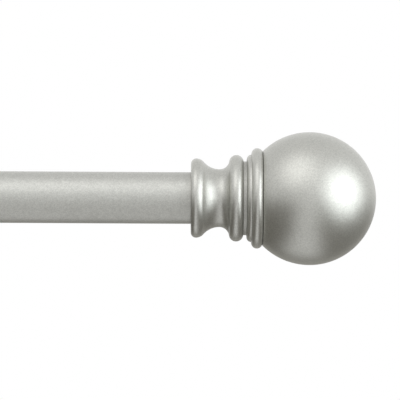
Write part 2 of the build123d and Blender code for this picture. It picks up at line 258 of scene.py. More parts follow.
# Finishes
# --------
@dataclass(frozen=True, kw_only=True)
class Finish:
    """What every finish has: handling marks, painted shade in its hollows and polish on its crowns."""

    name: str
    roughness: float
    # How much painted shade darkens the colour in the hollows.
    hollow_loss: float
    crown_gain: float
    mark_size: float
    mark_spread: float = 0.08
    metallic: float = 1.0

    def surface(self, shop: PaintShop, wires: Wiring, shader: Node) -> Socket:
        """Sets what only this finish has on the shader, and returns its colour before any wear."""
        raise NotImplementedError

    def material(self, shop: PaintShop) -> Material:
        """Builds the material, darker with painted shade and rougher in the hollows, lighter and smoother
        on the crowns.
        """
        material = bpy.data.materials.new(self.name)
        material.use_nodes = True
        wires = Wiring(material.node_tree)
        shader = material.node_tree.nodes["Principled BSDF"]
        colour = self.surface(shop, wires, shader)
        calc = wires.math
        masks = wires.group(shop.relief)
        # Painted shade: the hollow mask darkens the colour where shade falls in grooves and recesses.
        shade_in_hollows = calc("MULTIPLY", masks["Hollow"], -self.hollow_loss)
        gain = calc("MULTIPLY", masks["Crown"], self.crown_gain)
        shade_and_polish = calc("ADD", calc("ADD", shade_in_hollows, gain), 1.0)
        sizes = {"Patch Size": self.mark_size, "Middle": self.roughness, "Spread": self.mark_spread}
        marks = wires.group(shop.handling, sizes)["Roughness"]
        swing = calc("SUBTRACT", masks["Hollow"], masks["Crown"])
        roughness = calc("ADD", marks, calc("MULTIPLY", swing, self.mark_spread * 2))
        shaded_and_worn = wires.scaled(colour, shade_and_polish)
        wires.feed(shader, {"Base Color": shaded_and_worn, "Roughness": roughness, "Metallic": self.metallic})
        return material


@dataclass(frozen=True, kw_only=True)
class NickelPaint(Finish):
    """Satin nickel paint with fine metal flake under a thin clear coat."""

    colour: Colour = (0.555, 0.555, 0.52)
    roughness: float = 0.4
    flake_size: float = 0.25 * MM
    flake_contrast: float = 0.22
    flake_tilt: float = 0.13
    hollow_loss: float = 0.12
    crown_gain: float = 0.08
    mark_size: float = 18 * MM
    mark_spread: float = 0.05
    metallic: float = 0.93
    coat: float = 0.15
    coat_roughness: float = 0.25

    def surface(self, shop: PaintShop, wires: Wiring, shader: Node) -> Socket:
        """Flakes that differ in brightness and tilt, under the coat."""
        flake = wires.group(shop.flake, {"Flake Size": self.flake_size, "Contrast": self.flake_contrast})
        wires.bump(shader, flake["Height"], self.flake_tilt, self.flake_size / 2)
        wires.feed(shader, {"Coat Weight": self.coat, "Coat Roughness": self.coat_roughness})
        return wires.scaled(self.colour, flake["Shade"])


@dataclass(frozen=True, kw_only=True)
class PlatedSteel(Finish):
    """Zinc-plated steel with a fine crystalline mottle."""

    mottle: tuple[float, float] = (0.5, 1.5)  # the flakes' whole range at full contrast
    bright: Colour = (0.68, 0.68, 0.67)
    dull: Colour = (0.52, 0.53, 0.54)
    crystal: float = 0.9 * MM
    roughness: float = 0.3
    hollow_loss: float = 0.55
    crown_gain: float = 0.15
    mark_size: float = 6 * MM

    def surface(self, shop: PaintShop, wires: Wiring, shader: Node) -> Socket:
        """Crystals between dull and bright."""
        flake = wires.group(shop.flake, {"Flake Size": self.crystal, "Contrast": 1.0})
        return wires.blend(wires.ease(flake["Shade"], *self.mottle), self.dull, self.bright)


@dataclass(frozen=True, kw_only=True)
class TurnedBrass(Finish):
    """Plain brass with the rings that a lathe tool leaves round the rod's axis."""

    axis: Vector
    colour: Colour = (0.72, 0.55, 0.27)
    tarnish: Colour = (0.5, 0.36, 0.17)
    tarnish_scale: float = 400.0
    ring_scale: float = 200.0  # a ring about every 1.6 mm
    ring_wander: float = 1.5
    ring_tilt: float = 0.3
    ring_depth: float = 0.02 * MM
    roughness: float = 0.28
    hollow_loss: float = 0.5
    crown_gain: float = 0.2
    mark_size: float = 3 * MM

    def surface(self, shop: PaintShop, wires: Wiring, shader: Node) -> Socket:
        """Tool rings under patches of tarnish."""
        place = wires.add("ShaderNodeTexCoord").outputs["Object"]
        to_axis = {"Vector": place, "Location": (0, -self.axis.y, -self.axis.z)}
        centre = wires.add("ShaderNodeMapping", to_axis).outputs["Vector"]
        waves = {"Vector": centre, "Scale": self.ring_scale, "Distortion": self.ring_wander}
        rings = wires.add("ShaderNodeTexWave", waves, wave_type="RINGS", rings_direction="X")
        wires.bump(shader, rings.outputs["Fac"], self.ring_tilt, self.ring_depth)
        return wires.blend(wires.noise(place, self.tarnish_scale), self.colour, self.tarnish)


@dataclass(frozen=True, kw_only=True)
class MouldedPlastic(Finish):
    """Moulded plastic with a fine spark-eroded grain and slight cloudiness."""

    colour: Colour
    cloud: Colour
    cloud_scale: float = 250.0
    roughness: float = 0.5
    grain: float = 0.25 * MM
    grain_tilt: float = 0.5
    grain_depth: float = 0.015 * MM
    hollow_loss: float = 0.25
    crown_gain: float = 0.05
    mark_size: float = 5 * MM
    metallic: float = 0.0
    translucence: float = 0.0
    light_depth: float = 1.0 * MM
    light_share: Colour = (1.0, 0.9, 0.8)

    def surface(self, shop: PaintShop, wires: Wiring, shader: Node) -> Socket:
        """Clouds and grain, with a little light let in."""
        place = wires.add("ShaderNodeTexCoord").outputs["Object"]
        wires.bump(shader, wires.noise(place, 1 / self.grain), self.grain_tilt, self.grain_depth)
        depth = {"Subsurface Radius": self.light_share, "Subsurface Scale": self.light_depth}
        wires.feed(shader, {"Subsurface Weight": self.translucence, **depth})
        return wires.blend(wires.noise(place, self.cloud_scale, detail=3.0), self.colour, self.cloud)


# Outlines of turned pieces
# -------------------------
@dataclass
class Outline:
    """Outline of a turned piece, a closed ring or a line that starts and ends on the axis.

    Its marks are (along, radius, ease) in metres, where ease is the radius that rounds the corner.
    """

    closed: bool = True
    marks: list[tuple[float, float, float]] = field(default_factory=list)
    ease_steps: int = 4
    hold_by_ease: float = 0.6  # how far out a rounded corner's flats are held, as a share of its radius
    hold_by_flat: float = 0.4  # and at most as a share of the flat that is left

    def corner(self, along: float, radius: float, ease: float = 0.0) -> "Outline":
        """Adds a corner, rounded with the radius ease, and returns the outline."""
        self.marks.append((along, radius, ease))
        return self

    def corners(self, *marks: tuple[float, ...]) -> "Outline":
        """Adds corners, each (along, radius) or (along, radius, ease), and returns the outline."""
        for mark in marks:
            self.corner(*mark)
        return self

    def arc(self, centre: object, radius: float, start: float, sweep: float, steps: int = 24) -> "Outline":
        """Adds an arc.

        Args:
            centre: Its centre (along, radius).
            radius: Its own radius.
            start: Direction of its first point in degrees.
            sweep: How far it turns in degrees, negative for clockwise.
            steps: How many pieces it has.

        Returns:
            The outline itself.
        """
        for step in range(steps + 1):
            angle = math.radians(start + sweep * step / steps)
            self.corner(centre[0] + radius * math.cos(angle), centre[1] + radius * math.sin(angle))
        return self

    def thread_rows(self, length: float, radius: float, edge: float, pitch: float, rows: int) -> "Outline":
        """Adds a threaded pin, with rows close enough together for its thread.

        Args:
            length: The pin's length.
            radius: Its radius.
            edge: Width of the chamfer at each end.
            pitch: The thread's pitch.
            rows: How many rows each turn of the thread has.

        Returns:
            The outline itself.
        """
        count = round(length / pitch * rows)
        self.corners((0, 0), (0, radius - edge))
        for row in range(count + 1):
            self.corner(edge + (length - 2 * edge) * row / count, radius)
        return self.corners((length, radius - edge), (length, 0))

    def points(self) -> list[tuple[float, float]]:
        """The points in order with every eased corner rounded, and the first again at a ring's end."""
        result: list[tuple[float, float]] = []
        count = len(self.marks)
        for index, (along, radius, ease) in enumerate(self.marks):
            here = Vector((along, radius))
            if ease <= 0:
                result.append((along, radius))
                continue
            before = Vector(self.marks[index - 1][:2]) - here
            after = Vector(self.marks[(index + 1) % count][:2]) - here
            result.extend(self.rounded(here, before, after, ease))
        return result + result[:1] if self.closed else result

    def rounded(self, here: Vector, before: Vector, after: Vector, ease: float) -> list[tuple]:
        """Rounds one corner, with a point a little way out on each side to keep the flats flat.

        Args:
            here: The corner.
            before: Step from the corner to the point before it.
            after: Step from the corner to the point after it.
            ease: The rounding radius.

        Returns:
            The corner's points.
        """
        half = before.angle(after) / 2
        reach = ease / math.tan(half)
        middle = here + (before.normalized() + after.normalized()).normalized() * (ease / math.sin(half))
        start = here + before.normalized() * reach - middle
        end = here + after.normalized() * reach - middle
        spread = start.angle(end)
        arc = []
        for step in range(self.ease_steps + 1):
            share = step / self.ease_steps
            weight_start = math.sin((1 - share) * spread) / math.sin(spread)
            weight_end = math.sin(share * spread) / math.sin(spread)
            arc.append(tuple(middle + start * weight_start + end * weight_end))
        flat = max(min(before.length, after.length) - reach, 0.0)
        hold = min(self.hold_by_ease * ease, self.hold_by_flat * flat)
        first = here + before.normalized() * (reach + hold)
        last = here + after.normalized() * (reach + hold)
        return [tuple(first), *arc, tuple(last)]


def relief_of(points: list[tuple[float, float]], reach: float, samples: int = 8) -> list[float]:
    """How deep each point of an outline lies below its surroundings, as a share of the reach.

    Args:
        points: The outline's points, with the material on their right.
        reach: How far along the outline the surroundings go each way.
        samples: How many places are looked at each way.

    Returns:
        One value for each point, above zero in hollows and below zero on crowns.
    """
    path = [Vector(point) for point in points]
    lengths = [0.0]
    for first, second in zip(path, path[1:]):
        lengths.append(lengths[-1] + (second - first).length)

    def at(length: float) -> Vector:
        """Point of the outline at a length along it."""
        index = min(max(bisect.bisect_right(lengths, length) - 1, 0), len(path) - 2)
        step = lengths[index + 1] - lengths[index]
        share = (length - lengths[index]) / step if step > 0 else 0.0
        return path[index].lerp(path[index + 1], min(max(share, 0.0), 1.0))

    values = []
    for point, here in zip(path, lengths):
        around = [at(here + reach * step / samples) for step in range(-samples, samples + 1)]
        tangent = around[samples + 1] - around[samples - 1]
        outward = Vector((-tangent.y, tangent.x)).normalized() if tangent.length > 0 else Vector((0, 1))
        mean = sum(around, Vector((0, 0))) / len(around)
        values.append((mean - point).dot(outward) / reach)
    return values


# Geometry Nodes that make the pieces
# -----------------------------------
@dataclass
class ShapeTree:
    """A Geometry Nodes tree with its own wiring, ended by Realize Instances and Set Material."""

    name: str
    floats: dict[str, float]
    ints: dict[str, int] = field(default_factory=dict)

    def __post_init__(self) -> None:
        """Makes the empty tree with its sockets."""
        self.tree = bpy.data.node_groups.new(self.name, "GeometryNodeTree")
        add_sockets(self.tree, "INPUT", "Geometry", {"Geometry": None})
        add_sockets(self.tree, "INPUT", "Material", {"Material": None})
        add_sockets(self.tree, "OUTPUT", "Geometry", {"Geometry": None})
        add_sockets(self.tree, "INPUT", "Float", self.floats)
        add_sockets(self.tree, "INPUT", "Int", self.ints)
        self.wires = Wiring(self.tree)
        self.given = self.wires.add("NodeGroupInput").outputs

    def end(self, geometry: Socket) -> Tree:
        """Realizes the geometry, gives it its material, and returns the ended tree."""
        real = self.wires.add("GeometryNodeRealizeInstances", {"Geometry": geometry})
        inputs = {"Geometry": real.outputs["Geometry"], "Material": self.given["Material"]}
        dressed = self.wires.add("GeometryNodeSetMaterial", inputs)
        self.wires.add("NodeGroupOutput", {"Geometry": dressed.outputs["Geometry"]})
        return self.tree


def fluted(shape: ShapeTree, radius: Socket, turn: Socket) -> Socket:
    """Cuts evenly spaced flutes into the widest part of a turned piece.

    Args:
        shape: The tree.
        radius: Each point's distance from the axis.
        turn: Each point's angle in radians.

    Returns:
        The distance from the axis with the flutes cut.
    """
    calc, given = shape.wires.math, shape.given
    wave = calc("COSINE", calc("MULTIPLY", turn, given["Flutes"]))
    half_wave = calc("MULTIPLY", calc("ADD", wave, 1.0), 0.5)
    cut = calc("MULTIPLY", calc("POWER", half_wave, 3.0), given["Flute Depth"])
    return calc("MINIMUM", radius, calc("SUBTRACT", given["Flute Rim"], cut))


def threaded(shape: ShapeTree, along: Socket, radius: Socket, turn: Socket) -> Socket:
    """Cuts a helical thread, which runs out at both ends, into a stretch of a turned piece.

    Args:
        shape: The tree.
        along: Each point's place along the axis.
        radius: Each point's distance from the axis.
        turn: Each point's angle in radians.

    Returns:
        The distance from the axis with the thread cut.
    """
    calc, given = shape.wires.math, shape.given
    from_start = calc("SUBTRACT", along, given["Thread Start"])
    to_end = calc("SUBTRACT", given["Thread End"], along)
    pitches = calc("DIVIDE", from_start, given["Pitch"])
    turns = calc("SUBTRACT", pitches, calc("DIVIDE", turn, math.tau))
    saw = calc("SUBTRACT", calc("MULTIPLY", calc("FRACT", turns), 2.0), 1.0)
    ridge = calc("SUBTRACT", 1.0, calc("ABSOLUTE", saw))
    hollow = calc("SUBTRACT", 1.0, calc("POWER", ridge, given["Sharpness"]))
    run_in = calc("DIVIDE", from_start, given["Pitch"], clamp=True)
    run_out = calc("DIVIDE", to_end, given["Pitch"], clamp=True)
    full = calc("MULTIPLY", hollow, given["Thread Depth"])
    cut = calc("MULTIPLY", full, calc("MINIMUM", run_in, run_out))
    return calc("MULTIPLY", radius, calc("SUBTRACT", 1.0, cut))


def turned_tree() -> Tree:
    """Turns an outline round X, with flutes and a thread where their inputs ask for them."""
    flutes = {"Flute Rim": 1.0, "Flute Depth": 0.0}
    thread = {"Thread Start": 0.0, "Thread End": 0.0, "Thread Depth": 0.0, "Pitch": 1 * MM}
    shape = ShapeTree("turned_piece", {**flutes, **thread, "Sharpness": 1.0}, {"Segments": 96, "Flutes": 0})
    wires, outline, segments = shape.wires, shape.given["Geometry"], shape.given["Segments"]
    count = wires.add("GeometryNodeAttributeDomainSize", {"Geometry": outline}, component="MESH")
    rows = count.outputs["Point Count"]
    sides = {"Vertices X": wires.math("ADD", segments, 1), "Vertices Y": rows}
    grid = wires.add("GeometryNodeMeshGrid", sides).outputs["Mesh"]
    index = wires.add("GeometryNodeInputIndex").outputs["Index"]
    column = wires.math("FLOOR", wires.math("DIVIDE", wires.math("ADD", index, 0.5), rows))
    row = wires.math("SUBTRACT", index, wires.math("MULTIPLY", column, rows))
    turn = wires.math("MULTIPLY", wires.math("DIVIDE", column, segments), math.tau)

    def sampled(kind: str, value: Socket) -> Socket:
        """Value of a field at this row's point of the outline."""
        inputs = {"Geometry": outline, "Value": value, "Index": row}
        return wires.add("GeometryNodeSampleIndex", inputs, data_type=kind, domain="POINT").outputs["Value"]

    position = sampled("FLOAT_VECTOR", wires.add("GeometryNodeInputPosition").outputs["Position"])
    named = wires.add("GeometryNodeInputNamedAttribute", {"Name": RELIEF}, data_type="FLOAT")
    relief = sampled("FLOAT", named.outputs["Attribute"])
    parts = wires.add("ShaderNodeSeparateXYZ", {"Vector": position}).outputs
    radius = threaded(shape, parts["X"], fluted(shape, parts["Y"], turn), turn)
    across = wires.math("MULTIPLY", radius, wires.math("COSINE", turn))
    up = wires.math("MULTIPLY", radius, wires.math("SINE", turn))
    place = wires.add("ShaderNodeCombineXYZ", {"X": parts["X"], "Y": across, "Z": up}).outputs["Vector"]
    moved = wires.add("GeometryNodeSetPosition", {"Geometry": grid, "Position": place}).outputs["Geometry"]
    stored = {"Geometry": moved, "Name": RELIEF, "Value": relief}
    kept = wires.add("GeometryNodeStoreNamedAttribute", stored, data_type="FLOAT", domain="POINT")
    near = {"Geometry": kept.outputs["Geometry"], "Distance": WELD}
    return shape.end(wires.add("GeometryNodeMergeByDistance", near).outputs["Geometry"])


def slotted_tree() -> Tree:
    """Cuts a screwdriver slot across the end of a screw's head."""
    sizes = {"Head Face": 0.0, "Slot Width": 1 * MM, "Slot Depth": 1 * MM, "Slot Length": 10 * MM}
    shape = ShapeTree("driver_slot", sizes)
    wires, given = shape.wires, shape.given
    deep = wires.math("MULTIPLY", given["Slot Depth"], 2.0)
    extent = {"X": deep, "Y": given["Slot Length"], "Z": given["Slot Width"]}
    size = wires.add("ShaderNodeCombineXYZ", extent).outputs["Vector"]
    cutter = wires.add("GeometryNodeMeshCube", {"Size": size}).outputs["Mesh"]
    centre = wires.add("ShaderNodeCombineXYZ", {"X": given["Head Face"]}).outputs["Vector"]
    placed = wires.add("GeometryNodeTransform", {"Geometry": cutter, "Translation": centre})
    meshes = {"Mesh 1": given["Geometry"], "Mesh 2": placed.outputs["Geometry"]}
    return shape.end(wires.add("GeometryNodeMeshBoolean", meshes, operation="DIFFERENCE").outputs["Mesh"])


def set_out_tree() -> Tree:
    """Sets a piece out at the four corners of an upright rectangle on the wall."""
    shape = ShapeTree("set_out_at_corners", {"Spacing Across": 0.1, "Spacing Up": 0.1})
    wires, given = shape.wires, shape.given
    spacing = {"Size X": given["Spacing Across"], "Size Y": given["Spacing Up"]}
    grid = wires.add("GeometryNodeMeshGrid", {"Vertices X": 2, "Vertices Y": 2, **spacing}).outputs["Mesh"]
    upright = wires.add("GeometryNodeTransform", {"Geometry": grid, "Rotation": (math.pi / 2, 0, 0)})
    points = {"Points": upright.outputs["Geometry"], "Instance": given["Geometry"]}
    return shape.end(wires.add("GeometryNodeInstanceOnPoints", points).outputs["Instances"])


def stand(name: str, data: bpy.types.ID) -> Piece:
    """Makes an object of a mesh or a camera and puts it in the scene."""
    made = bpy.data.objects.new(name, data)
    bpy.context.scene.collection.objects.link(made)
    return made


@dataclass
class Bench:
    """Makes finished pieces: runs the trees, places the results and closes the meshes."""

    turned: Tree = field(default_factory=turned_tree)
    slotted: Tree = field(default_factory=slotted_tree)
    set_out: Tree = field(default_factory=set_out_tree)
    sharp_angle: float = math.radians(35)
    edge_segments: int = 2

    def run(self, tree: Tree, start: Mesh, **sizes: object) -> Mesh:
        """Runs a tree on a mesh.

        Args:
            tree: The Geometry Nodes tree.
            start: The mesh it starts from.
            **sizes: The tree's inputs, in lower case with underscores for spaces.

        Returns:
            The made mesh.
        """
        blank = stand("blank", start)
        modifier = blank.modifiers.new("shape", "NODES")
        modifier.node_group = tree
        for item in tree.interface.items_tree:
            key = item.name.lower().replace(" ", "_")
            if item.in_out == "INPUT" and key in sizes:
                modifier[item.identifier] = sizes[key]
        bpy.context.view_layer.update()
        made = bpy.data.meshes.new_from_object(blank.evaluated_get(bpy.context.evaluated_depsgraph_get()))
        bpy.data.objects.remove(blank)
        return made

    def turn(self, outline: Outline, material: Material, **sizes: object) -> Mesh:
        """Turns an outline round local X, in a material and with further inputs of the turning tree."""
        points = outline.points()
        start = bpy.data.meshes.new("outline")
        edges = [(index, index + 1) for index in range(len(points) - 1)]
        start.from_pydata([(along, radius, 0.0) for along, radius in points], edges, [])
        relief = start.attributes.new(RELIEF, "FLOAT", "POINT")
        relief.data.foreach_set("value", relief_of(points, RELIEF_REACH))
        return self.run(self.turned, start, material=material, **sizes)

    def piece(self, name: str, mesh: Mesh, place: Matrix | None = None) -> Piece:
        """Makes a mesh a finished piece with closed, outward faces and smooth shading.

        Args:
            name: The piece's name.
            mesh: Its mesh.
            place: Matrix that takes it to its place, or None where it is already there.

        Returns:
            The finished object, at the origin.
        """
        shape = bmesh.new()
        shape.from_mesh(mesh)
        if place is not None:
            shape.transform(place)
        bmesh.ops.remove_doubles(shape, verts=shape.verts, dist=WELD)
        bmesh.ops.recalc_face_normals(shape, faces=shape.faces)
        shape.to_mesh(mesh)
        shape.free()
        mesh.name = name
        mesh.shade_smooth()
        mesh.set_sharp_from_angle(angle=self.sharp_angle)
        return stand(name, mesh)

    def softened(self, node: str, name: str, material: Material, edge: float) -> Piece:
        """Copies a CAD node with its edges slightly rounded.

        Args:
            node: The CAD node.
            name: The copy's name.
            material: The copy's material.
            edge: Width of the rounding in metres.

        Returns:
            The copy.
        """
        shape = bmesh.new()
        shape.from_mesh(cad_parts[node].data)
        bmesh.ops.remove_doubles(shape, verts=shape.verts, dist=WELD)
        bmesh.ops.dissolve_limit(shape, angle_limit=FLAT_ANGLE, verts=shape.verts, edges=shape.edges)
        mesh = bpy.data.meshes.new(name)
        shape.to_mesh(mesh)
        shape.free()
        mesh.materials.append(material)
        made = self.piece(name, mesh)
        bevel = made.modifiers.new("eased edges", "BEVEL")
        bevel.width = edge
        bevel.segments = self.edge_segments
        bevel.limit_method = "ANGLE"
        bevel.angle_limit = self.sharp_angle
        made.modifiers.new("even shading", "WEIGHTED_NORMAL").keep_sharp = True
        return made


def settle(piece: Piece, body: str, slot: str, *nodes: str) -> None:
    """Hands a finished piece to the frame and reports it.

    Args:
        piece: The finished piece.
        body: The body it moves with.
        slot: The record's material slot; not used.
        *nodes: CAD nodes that it stands for.
    """
    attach(piece, body)
    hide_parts(*nodes)
    LOG.info("%s rides on %s with %d faces", piece.name, body, len(piece.data.polygons))


# What the pieces share
# ---------------------
def middle(node: str) -> Vector:
    """Middle of a CAD node's box."""
    low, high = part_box(node)
    return (low + high) / 2


def extent(node: str) -> Vector:
    """Size of a CAD node's box."""
    low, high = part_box(node)
    return high - low


@dataclass
class Workshop:
    """The bench and the finishes, made once and used by every sub-assembly."""

    bench: Bench = field(default_factory=Bench)
    shop: PaintShop = field(default_factory=PaintShop)

    def __post_init__(self) -> None:
        """Makes the finish of every material slot."""
        silver = {"colour": (0.535, 0.535, 0.505), "roughness": 0.5}
        white = {"colour": (0.80, 0.79, 0.75), "cloud": (0.70, 0.69, 0.64), "translucence": 0.15}
        grey = {"colour": (0.33, 0.34, 0.35), "cloud": (0.25, 0.26, 0.27), "roughness": 0.42}
        finishes = {
            "tube_paint": NickelPaint(name="satin_nickel_tube", **silver),
            "finial_paint": NickelPaint(name="satin_nickel_finial"),
            "bracket_paint": NickelPaint(name="satin_nickel_bracket"),
            "plated_steel": PlatedSteel(name="zinc_plate"),
            "brass": TurnedBrass(name="turned_brass", axis=middle("outer_tube")),
            "white_nylon": MouldedPlastic(name="white_nylon", **white),
            "pad_vinyl": MouldedPlastic(name="grey_vinyl_pad", **grey),
        }
        self.finish = {slot: finish.material(self.shop) for slot, finish in finishes.items()}

    def turned(
        self, node: str, word: str, outline: Outline, place: Matrix, body: str, slot: str, **sizes: object
    ) -> None:
        """Turns the piece that stands for a CAD node.

        Args:
            node: The CAD node's name.
            word: What the piece's name adds to it.
            outline: Its outline.
            place: Matrix that takes it to its place.
            body: The body it rides on.
            slot: Its material slot.
            **sizes: Further inputs of the turning tree.
        """
        mesh = self.bench.turn(outline, self.finish[slot], **sizes)
        settle(self.bench.piece(f"{node}_{word}", mesh, place), body, slot, node)


# Rod
# ---
@dataclass
class Rod:
    """Two telescoping tubes with their collar, glide, adapter sleeve, end plugs and inserts."""

    workshop: Workshop
    tube_wall: float = 0.7 * MM
    tube_edge: float = 0.15 * MM
    collar_flange: float = 1.2 * MM
    collar_bore: float = 6.4 * MM
    collar_edge: float = 0.35 * MM
    glide_head: float = 6.0 * MM
    glide_edge: float = 0.6 * MM
    sleeve_chamfer: float = 0.8 * MM
    plug_bore: float = 3.3 * MM
    plug_bore_depth: float = 14.0 * MM
    plug_edge: float = 0.3 * MM
    insert_radius: float = 4.0 * MM
    insert_length: float = 10.0 * MM
    insert_bore: float = 3.05 * MM
    segments: int = 128

    def __post_init__(self) -> None:
        """Reads the rod's axis from the frame."""
        centre = middle("outer_tube")
        self.origin = Vector((0, centre.y, centre.z))

    def turned(
        self, name: str, outline: Outline, body: str, slot: str, way: Heading = Heading.RIGHT
    ) -> None:
        """Makes a piece turned round the rod's axis that stands for the node of the same name.

        Args:
            name: The CAD node's name.
            outline: Its outline, from the node's left face, or from its right one where the way is left.
            body: The body it rides on.
            slot: Its material slot.
            way: Direction of its local axis.
        """
        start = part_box(name)[way is Heading.LEFT].x
        place = way.matrix(self.origin + Vector((start, 0, 0)))
        self.workshop.turned(name, "turned", outline, place, body, slot, segments=self.segments)

    def tube(self, name: str, body: str) -> None:
        """Makes the tube that stands for a node and rides on a body, with its cut ends slightly rounded."""
        length, radius, edge = extent(name).x, extent(name).z / 2, self.tube_edge
        bore = radius - self.tube_wall
        outline = Outline().corners((0, radius, edge), (length, radius, edge))
        outline.corners((length, bore, edge), (0, bore, edge))
        self.turned(name, outline, body, "tube_paint")

    def collar(self) -> None:
        """Makes the flanged bush in the outer tube's mouth."""
        length = extent("tube_mouth_collar").x
        flange = extent("tube_mouth_collar").z / 2
        bush = flange - self.tube_wall
        outline = Outline().corners(
            (0, flange, self.collar_edge),
            (self.collar_flange, flange, self.tube_edge),
            (self.collar_flange, bush),
            (length, bush, self.collar_edge),
            (length, self.collar_bore, self.tube_edge),
            (0, self.collar_bore, self.collar_edge),
        )
        self.turned("tube_mouth_collar", outline, "outer_rod", "white_nylon")

    def glide(self) -> None:
        """Makes the plug on the inner tube's hidden end."""
        length, radius = extent("inner_tube_glide").x, extent("inner_tube_glide").z / 2
        spigot = extent("inner_tube").z / 2 - self.tube_wall
        outline = Outline(closed=False).corners(
            (0, 0),
            (0, spigot, self.tube_edge),
            (length - self.glide_head, spigot),
            (length - self.glide_head, radius, self.glide_edge),
            (length, radius, self.glide_edge),
            (length, 0),
        )
        self.turned("inner_tube_glide", outline, "inner_rod", "white_nylon")

    def sleeve(self) -> None:
        """Makes the sleeve that brings the smaller tube up to its finial."""
        length, radius = extent("tube_adapter_sleeve").x, extent("tube_adapter_sleeve").z / 2
        bore = extent("inner_tube").z / 2
        outline = Outline().corners(
            (0, radius, self.tube_edge),
            (length - self.sleeve_chamfer, radius, self.tube_edge),
            (length, radius - self.sleeve_chamfer, self.tube_edge),
            (length, bore),
            (0, bore),
        )
        self.turned("tube_adapter_sleeve", outline, "inner_rod", "finial_paint")

    def end_fittings(self, side: Side, tube: str, body: str) -> None:
        """Makes the plug and the threaded insert in one end of the rod.

        Args:
            side: The rod's end.
            tube: The tube that holds them.
            body: The body they ride on.
        """
        length = extent(side.node("end_plug")).x
        inward = Heading.LEFT if side is Side.RIGHT else Heading.RIGHT
        outer = extent(tube).z / 2 - self.tube_wall
        plug = Outline().corners(
            (0, self.insert_radius, self.plug_edge),
            (0, outer, self.plug_edge),
            (length, outer, self.plug_edge),
            (length, 0),
            (self.plug_bore_depth, 0),
            (self.plug_bore_depth, self.plug_bore),
            (self.insert_length, self.plug_bore),
            (self.insert_length, self.insert_radius),
        )
        self.turned(side.node("end_plug"), plug, body, "white_nylon", inward)
        insert = Outline().corners(
            (0, self.insert_bore, self.tube_edge),
            (0, self.insert_radius, self.tube_edge),
            (self.insert_length, self.insert_radius, self.tube_edge),
            (self.insert_length, self.insert_bore, self.tube_edge),
        )
        self.turned(side.node("thread_insert"), insert, body, "brass", inward)

    def build(self) -> None:
        """Makes every piece of the rod."""
        self.tube("outer_tube", "outer_rod")
        self.tube("inner_tube", "inner_rod")
        self.collar()
        self.glide()
        self.sleeve()
        self.end_fittings(Side.RIGHT, "outer_tube", "outer_rod")
        self.end_fittings(Side.LEFT, "inner_tube", "inner_rod")


